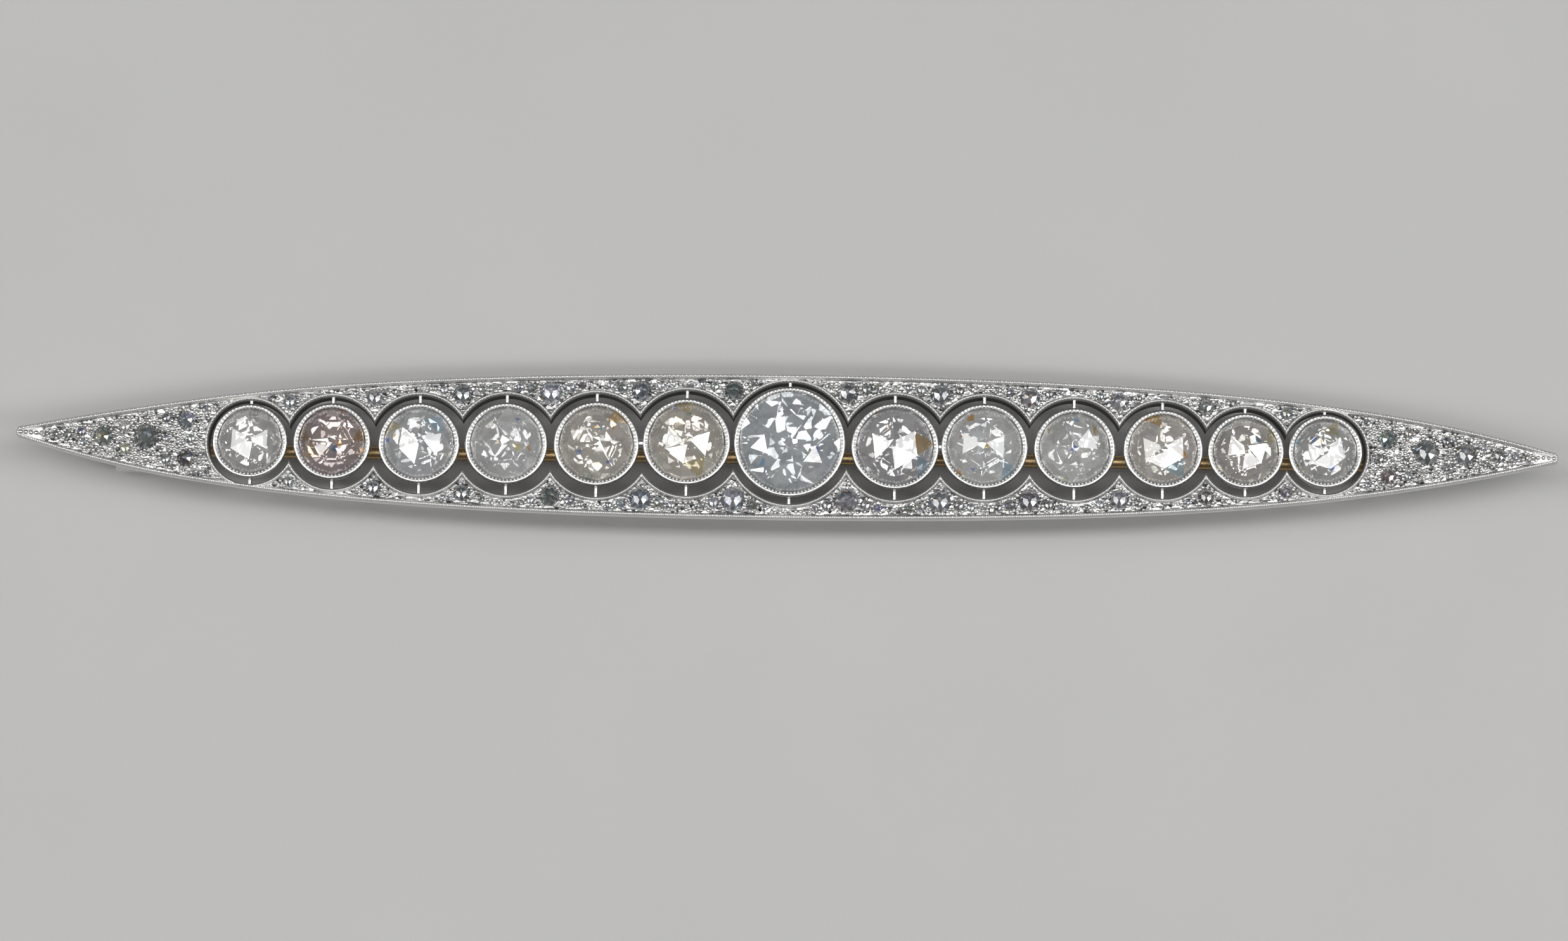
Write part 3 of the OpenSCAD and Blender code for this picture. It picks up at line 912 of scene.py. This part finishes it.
def makeStem():
    # A profile turned round the stem's axis, straight and then narrowing to the point; the eye
    # is a flat ring with bevelled edges turned round the rivet
    f, s = fittingShape, stemShape
    r, start, taperFrom, tip = s["r"], f["hingeX"] - s["past"], s["taperFrom"], s["tip"]
    t = np.linspace(0, 1, 14)
    narrow = r + (s["pointR"] - r) * t**1.15
    along = taperFrom + (tip - taperFrom) * t[1:]
    profile = np.column_stack([
        np.concatenate([[0.001, r - 0.02, r, r], narrow[1:], [0.05, 0.001]]),
        np.concatenate([[start, start, start - 0.02, taperFrom], along, [tip - 0.02, tip - 0.03]]),
    ])
    stemPoints, stemFaces = lathe(profile, 20, False)
    stem = stemPoints[:, [2, 0, 1]] + [0, f["stemY"], f["stemZ"]]
    ring = bevelled(f["rivetR"] + s["eyePlay"], s["eyeR"], -s["eyeHalf"], s["eyeHalf"], s["eyeSoft"])
    eyePoints, eyeFaces = lathe(ring, 40)
    eye = eyePoints[:, [0, 2, 1]] + hingePlace
    points, blocks = joined([(stem, stemFaces), (eye, eyeFaces)])
    makePiece("pinStem", points, blocks, gold, ["pin_stem"], 40, True)


makeFittings()
makeStem()
print("hinge, catch and pin stem made")


# Stones

def cutRings(*rows):  # corners from rows of their count, radius, height and turn in degrees
    return np.concatenate([circle(r, np.radians(turn) + turns(n), z) for n, r, z, turn in rows])


def facesOf(*corners):  # faces from the numbers of their first, second, third and further corners
    return np.stack(corners, 1)


def shaken(points, first, rng, amount):
    # Hand-cut stones are never even: corners inside the girdle stray along all three axes
    size = np.abs(points[:, :2]).max()
    points[first:] += rng.uniform(-1, 1, points[first:].shape) * amount * size * [1, 1, 0.35]
    return points


# Heights and distances are shares of the girdle's radius, but the girdle's own height is in mm
roseShape = {
    "girdle": 0.08, "seatR": 0.66,
    "crown": 0.42, "shoulderR": 0.6, "tableR": 0.12,
    "belly": 0.48, "bellyR": 0.36, "culetR": 0.05,
    "bellyZ": 0.6,  # of the belly's height
    "shake": 0.035,
    "follow": 0.4,  # how much of the table's stray the shoulder shares
}


def roseCut(r, turn, shoulder, apex, rng):
    # Twelve-sided girdle, a shoulder of six corners and a small table, as in the solids; under it
    # a flat ring for the seat, then the same three steps drawn in to a point inside the bore. The
    # table of a hand-cut stone lies a little off its middle, and the shoulder a little high or low
    s = roseShape
    girdle, rise, dip, half = s["girdle"], s["crown"] * r, s["belly"] * r, turn + 30
    points = cutRings(
        (12, r, 0.0, turn), (12, r, girdle, turn),
        (6, s["shoulderR"] * r, girdle + shoulder * rise, half),
        (6, s["tableR"] * r, girdle + rise, half), (12, s["seatR"] * r, 0.0, turn),
        (6, s["bellyR"] * r, -s["bellyZ"] * dip, half), (6, s["culetR"] * r, -dip, half),
    )
    points = shaken(points, 24, rng, s["shake"])
    points[30:36, :2] += np.array(apex) * r
    points[24:30, :2] += np.array(apex) * r * s["follow"]
    j = np.arange(6)
    k = (j + 1) % 6

    def step(outer, inner, last):  # from twelve corners in to six, and on to the next six
        g0, g1, g2 = outer + 2 * j, outer + 2 * j + 1, outer + (2 * j + 2) % 12
        a, b = inner + j, inner + k
        thirds = np.concatenate([facesOf(a, g0, g1), facesOf(a, g1, g2), facesOf(a, g2, b)])
        return thirds, facesOf(a, b, last + k, last + j)

    crown, crownStars = step(12, 24, 30)
    belly, bellyStars = step(36, 48, 54)
    i = np.arange(12)
    seatRing = facesOf(i, 36 + i, 36 + (i + 1) % 12, (i + 1) % 12)
    under = [belly[:, ::-1], bellyStars[:, ::-1]]
    ends = [(30 + j)[None], (54 + j)[::-1][None]]
    return points, [gridFaces(2, 12, False, True), seatRing, crown, crownStars, *under, *ends]


brilliantShape = {
    "girdle": 0.08,
    "crown": 0.29, "shoulderR": 0.76, "tableR": 0.5,
    "depth": 0.82, "bellyR": 0.42, "culetR": 0.09,
    "proud": 0.01,
    "shake": 0.025,
}


def brilliantCut(r, turn, rng):
    # Table, stars, kites and halves over the girdle; halves, mains and a culet under it. Shoulder
    # and belly lie on the straight slopes from girdle to table and to culet, and just proud of them
    s, seen = brilliantShape, math.cos(math.pi / 8)
    crown, depth, girdle, mid = s["crown"] * r, s["depth"] * r, s["girdle"], turn + 22.5
    shoulderZ = crown * (1 - s["shoulderR"] * seen) / (1 - s["tableR"]) + s["proud"]
    bellyZ = -depth * (1 - s["bellyR"] * seen) / (1 - s["culetR"] * seen) - s["proud"]
    points = cutRings(
        (8, s["tableR"] * r, girdle + crown, mid), (8, s["shoulderR"] * r, girdle + shoulderZ, turn),
        (16, r, girdle, turn), (16, r, 0.0, turn),
        (8, s["bellyR"] * r, bellyZ, turn), (8, s["culetR"] * r, -depth, turn),
    )
    points = shaken(points, 48, rng, s["shake"])
    j = np.arange(8)
    k = (j + 1) % 8
    table, shoulder, top, low, belly, culet = 0, 8, 16, 32, 48, 56
    at, mid, before = 2 * j, 2 * j + 1, (2 * j - 1) % 16
    thirds = np.concatenate([
        facesOf(table + (j - 1) % 8, shoulder + j, table + j),
        facesOf(shoulder + j, top + at, top + mid), facesOf(shoulder + j, top + before, top + at),
        facesOf(belly + j, low + mid, low + at), facesOf(belly + j, low + at, low + before),
    ])
    i = np.arange(16)
    quads = np.concatenate([
        facesOf(table + j, shoulder + j, top + mid, shoulder + k),
        facesOf(low + i, low + (i + 1) % 16, top + (i + 1) % 16, top + i),
    ])
    mains = facesOf(low + mid, belly + k, culet + k, culet + j, belly + j)
    ends = [(table + j)[None], (culet + j)[::-1][None]]
    return points, [quads, thirds, mains, *ends]


def faceMiddles(points, blocks):  # the mean of each face's corners
    return np.concatenate([points[b].mean(1) for b in blocks])


# One row for each main stone: its kind, how far it is turned, the height of its shoulder, how far
# its table lies off the middle, its tint, how much its facets vary, and the directions of its
# painted fire, each with the colour painted on the facets that face it
warm, gilt, sky = (1.0, 0.5, 0.12), (1.0, 0.8, 0.35), (0.4, 0.72, 1.0)
stoneLooks = [
    ("clear", 0, 0.72, (0.0, 0.0), (0.98, 0.97, 0.95), 0.1, {}),
    ("clear", 30, 0.72, (0.0, 0.0), (0.72, 0.62, 0.61), 0.25, {165: gilt, 8: warm, 205: gilt}),
    ("soft", 50, 0.66, (0.06, 0.0), (0.98, 0.99, 1.0), 0.15, {50: sky, 155: gilt}),
    ("cloudy", 28, 0.72, (0.0, 0.03), (1.0, 1.0, 0.99), 0.22, {}),
    ("soft", 33, 0.72, (0.0, 0.0), (0.94, 0.90, 0.83), 0.15, {48: warm}),
    ("soft", 52, 0.66, (0.06, 0.0), (0.97, 0.92, 0.84), 0.15, {90: gilt, 300: gilt}),
    ("centre", 11, 0.72, (0.0, 0.0), (0.92, 0.97, 1.0), 0.15, {}),
    ("clear", 5, 0.66, (-0.06, 0.0), (0.88, 0.87, 0.88), 0.2, {2: warm, 330: sky}),
    ("cloudy", 56, 0.66, (-0.05, 0.0), (1.0, 1.0, 0.98), 0.2, {315: sky}),
    ("cloudy", 22, 0.72, (0.0, 0.0), (1.0, 1.0, 0.97), 0.22, {}),
    ("soft", 4, 0.72, (0.0, 0.0), (0.98, 0.94, 0.88), 0.15, {300: sky, 95: warm}),
    ("clear", 50, 0.72, (0.0, 0.0), (0.93, 0.90, 0.85), 0.18, {25: gilt}),
    ("clear", 10, 0.70, (0.0, 0.0), (0.96, 0.96, 0.94), 0.15, {80: gilt}),
]
facetLook = {"seed": 100, "range": (-1, 0.35), "fireWide": 26, "fireAbove": 0.45}


def turnedFrom(middles, angle):  # degrees between a direction and those in which facets lie
    around = np.degrees(np.arctan2(middles[:, 1], middles[:, 0]))
    return np.abs((around - angle + 180) % 360 - 180)


def makeMainStones():
    # Each facet has the stone's tint, a little darker or lighter; painted fire: under the girdle the
    # facets near a direction of fire are painted its colour, and one facet above takes some of it
    look = facetLook
    for k, (node, row) in enumerate(zip(stoneNodes, stoneLooks)):
        kind, turn, shoulder, apex, tint, spread, fire = row
        x, y, r, z = seats[k]
        rng = np.random.default_rng(look["seed"] + k)
        if k == centre:
            points, blocks = brilliantCut(r, turn, rng)
        else:
            points, blocks = roseCut(r, turn, shoulder, apex, rng)
        middles = faceMiddles(points, blocks)
        tone = 1 + spread * rng.uniform(*look["range"], len(middles))
        colours = np.array(tint)[None] * tone[:, None]
        outer = (np.hypot(middles[:, 0], middles[:, 1]) > 0.6 * r) & (middles[:, 2] > 0.1)
        below = middles[:, 2] < -0.06 * r
        # Painted fire, coloured light painted on the facets that face each direction
        for angle, hue in fire.items():
            away = turnedFrom(middles, angle)
            colours[below & (away < look["fireWide"])] = hue
            colours[np.argmin(np.where(outer, away, 360))] *= np.array(hue) ** look["fireAbove"]
        name = node.replace("stone_", "mainStone")
        piece = makePiece(name, points + [x, y, z], blocks, diamonds[kind], [node], 0)
        paintFaces(piece, "facet", colours)


# Small stones with a look of their own: X, Y, shade, and the direction and colour of a painted
# flash, a painted highlight on the facets that face that way
smallLooks = [
    (-37.68, 0.12, (0.42, 0.46, 0.42), 190, (1.0, 0.97, 0.80)),
    (-38.84, 0.38, (0.40, 0.36, 0.44), 80, (0.75, 0.72, 0.80)),
    (-36.45, 0.70, (1.0, 0.97, 0.95), 100, (1.0, 1.0, 1.0)),
    (-36.42, -0.55, (0.86, 0.86, 0.70), 250, (1.0, 0.95, 0.70)),
    (-35.30, 0.14, (0.40, 0.43, 0.42), 60, (0.55, 0.58, 0.62)),
    (-33.10, 1.10, (0.46, 0.52, 0.52), 45, (0.78, 0.70, 1.0)),
    (-33.10, -1.06, (0.26, 0.23, 0.23), 350, (0.72, 0.80, 0.84)),
    (-6.9, 2.9, (1.0, 1.0, 1.0), 120, (1.0, 1.0, 1.0)),
    (3.4, 3.1, (0.35, 0.36, 0.38), 170, (1.0, 1.0, 1.0)),
    (35.22, 0.12, (0.42, 0.45, 0.46), 340, (1.0, 1.0, 0.97)),
    (37.38, 0.04, (0.66, 0.67, 0.70), 20, (0.45, 0.46, 0.50)),
    (39.22, 0.0, (0.46, 0.46, 0.47), 170, (1.0, 1.0, 1.0)),
    (33.10, 0.82, (0.42, 0.48, 0.46), 170, (0.72, 0.92, 0.90)),
    (33.10, -1.24, (0.50, 0.40, 0.42), 120, (1.0, 0.96, 0.94)),
]


smallShape = {
    "girdle": 0.12,
    "shoulderR": 0.62, "shoulderZ": 0.37,
    "tableR": 0.18, "tableZ": 0.5,
    "tint": (0.78, 0.81, 0.85),
    "shades": (0.4, 1.0), "hueSpread": (0, 0.07), "tones": (0.5, 1.15),
    "flashWide": 40, "flashNear": 0.6,
}


def makeSmallStones(side, seed):
    # Eight-sided girdles, a shoulder and a turned table: one ring of corners of all the stones at
    # a time. Each stone has its own shade and each facet its own tone; the listed stones get a
    # painted highlight on the facets that face their flash direction
    s, rows = smallShape, smallSeats[side]
    rng = np.random.default_rng(seed)
    x, y, r, low = rows.T[:, :, None]
    spin = rng.uniform(0, np.pi / 4, (len(rows), 1)) + turns(8)
    top, half = low + s["girdle"], spin + np.pi / 8
    steps = [
        (r, spin, low), (r, spin, top), (r * s["shoulderR"], half, top + r * s["shoulderZ"]),
        (r * s["tableR"], half, top + r * s["tableZ"]),
    ]
    points = np.concatenate([circle(*step, x=x, y=y) for step in steps], 1).reshape(-1, 3)
    j = np.arange(8)
    k = (j + 1) % 8
    crown = np.concatenate([facesOf(8 + j, 8 + k, 16 + j), facesOf(8 + k, 16 + k, 16 + j)])
    stars = facesOf(16 + j, 16 + k, 24 + k, 24 + j)
    blocks = [gridFaces(2, 8, False, True), crown, stars, j[::-1][None], (24 + j)[None]]
    blocks = repeated(blocks, len(rows), 32)
    name, node = side + "SmallStones", side + "_small_stones"
    piece = makePiece(name, points, blocks, diamonds["small"], [node], 0)

    stone = np.concatenate([np.repeat(np.arange(len(rows)), len(b) // len(rows)) for b in blocks])
    tint = np.array(s["tint"]) * rng.uniform(*s["shades"], (len(rows), 1))
    tint = tint + rng.uniform(*s["hueSpread"], (len(rows), 3))
    tone = rng.uniform(*s["tones"], len(stone))[:, None]
    colours = tint[stone] * tone
    away = faceMiddles(points, blocks) - np.column_stack([rows[stone, :2], rows[stone, 3]])
    for lookX, lookY, shade, angle, flash in smallLooks:
        far = np.hypot(rows[:, 0] - lookX, rows[:, 1] - lookY)
        if far.min() > s["flashNear"]:
            continue
        mine = stone == np.argmin(far)
        colours[mine] = np.array(shade) * tone[mine] ** 0.5
        # Painted highlight: this stone's crown facets that face the flash direction take its colour
        lit = (turnedFrom(away, angle) < s["flashWide"]) & (away[:, 2] > s["girdle"])
        colours[mine & lit] = flash
    paintFaces(piece, "facet", colours)


makeMainStones()
makeSmallStones("upper", 21)
makeSmallStones("lower", 22)
print("stones made")


# Floor, light and camera

stage = {
    "floorSize": 2.5,
    "floorLow": -0.02 * mm,
    "floorShades": [(0.3, (0.455, 0.451, 0.444)), (0.7, (0.468, 0.464, 0.457))],
    "floorGrain": 60.0,
    "floorRough": 0.7,
    "world": (0.82, 0.82, 0.83),
    "worldStrength": 0.15,
}


def makeFloor():  # one square, its two close shades spread by noise
    mesh = bpy.data.meshes.new("floor")
    size, low = stage["floorSize"], stage["floorLow"]
    corners = [(-size, -size, low), (size, -size, low), (size, size, low), (-size, size, low)]
    mesh.from_pydata(corners, [], [(0, 1, 2, 3)])
    floor = bpy.data.objects.new("floor", mesh)
    scene.collection.objects.link(floor)
    material, n, shader = newMaterial("paleFloor")
    place = n.add("ShaderNodeTexCoord", 3)
    grain = n.add("ShaderNodeTexNoise", Vector=place, Scale=stage["floorGrain"], Detail=4.0)
    n.feed(shader, Base_Color=n.ramp(grain, stage["floorShades"]), Roughness=stage["floorRough"])
    mesh.materials.append(material)


def setUp(name, data, place, turned):  # puts a light or the camera in its place
    thing = bpy.data.objects.new(name, data)
    thing.location = place
    thing.rotation_mode = "QUATERNION"
    thing.rotation_quaternion = turned
    scene.collection.objects.link(thing)
    return thing


def areaLight(name, place, size, power, tone=(1, 1, 1)):  # turned towards the brooch
    data = bpy.data.lights.new(name, "AREA")
    data.shape, data.size, data.size_y = "RECTANGLE", size[0], size[1]
    data.energy, data.color = power, tone
    setUp(name, data, place, (-Vector(place)).to_track_quat("-Z", "Y"))


# Small lamps for the stones' sparkle, two long ceiling lights and four panels for the metal. Most
# of the light comes from where the bar hides it from its own openings, so they stay dark.
# Name, place, size, power and tone:
lamps = [
    ("left", (-0.27, 0.08, 0.42), (0.16, 0.16), 0.22, (1.0, 0.99, 0.96)),
    ("right", (0.27, 0.08, 0.42), (0.16, 0.16), 0.22, (0.97, 0.98, 1.0)),
    ("front", (0.20, -0.15, 0.46), (0.12, 0.12), 0.14, (1.0, 1.0, 1.0)),
    ("ceilingFront", (0.0, -0.285, 0.9), (2.6, 0.12), 3.5, (1.0, 1.0, 1.0)),
    ("ceilingBack", (0.0, 0.04, 0.9), (2.6, 0.13), 7.6, (1.0, 1.0, 1.0)),
]
panels = {"x": (-0.84, -0.48, 0.48, 0.84), "y": -0.255, "z": 0.8, "size": (0.32, 0.10), "power": 0.36}


def makeLights():  # the lamps, the row of panels and an even dim world
    for lamp in lamps:
        areaLight(*lamp)
    for x in panels["x"]:
        areaLight("panel", (x, panels["y"], panels["z"]), panels["size"], panels["power"])
    world = bpy.data.worlds.new("studio")
    world.use_nodes = True
    background = world.node_tree.nodes["Background"]
    background.inputs[0].default_value = (*stage["world"], 1.0)
    background.inputs[1].default_value = stage["worldStrength"]
    scene.world = world
    scene.view_settings.view_transform = "Standard"


cameraSet = {
    "elevation": 81.0,
    "lens": 150.0,
    "sensor": 36.0,
    "image": (2474, 1484),
    "middle": (1242.0, 704.9),  # of the brooch in the image, in pixels
    "perPixel": 0.0349 * mm,
    "roll": 0.72,
}


def makeCamera():
    # As far back as the lens needs for this many metres a pixel, aimed so that the brooch's
    # middle falls on its own pixel, and turned a little about its axis
    c = cameraSet
    data = bpy.data.cameras.new("camera")
    data.lens, data.sensor_width = c["lens"], c["sensor"]
    data.clip_start, data.clip_end = 0.01, 10
    wide, high = c["image"]
    away = c["lens"] / c["sensor"] * wide * c["perPixel"]
    tilt = math.radians(c["elevation"])
    back = Vector((0, -math.cos(tilt), math.sin(tilt)))
    turned = (-back).to_track_quat("-Z", "Y") @ Quaternion((0, 0, 1), math.radians(c["roll"]))
    right, up = turned @ Vector((1, 0, 0)), turned @ Vector((0, 1, 0))
    offX = (c["middle"][0] - wide / 2) * c["perPixel"]
    offY = (high / 2 - c["middle"][1]) * c["perPixel"]
    target = Vector((0, 0, bar["front"] * mm)) - right * offX - up * offY
    scene.camera = setUp("camera", data, target + back * away, turned)


makeFloor()
makeLights()
makeCamera()
print("floor, lights and camera made")
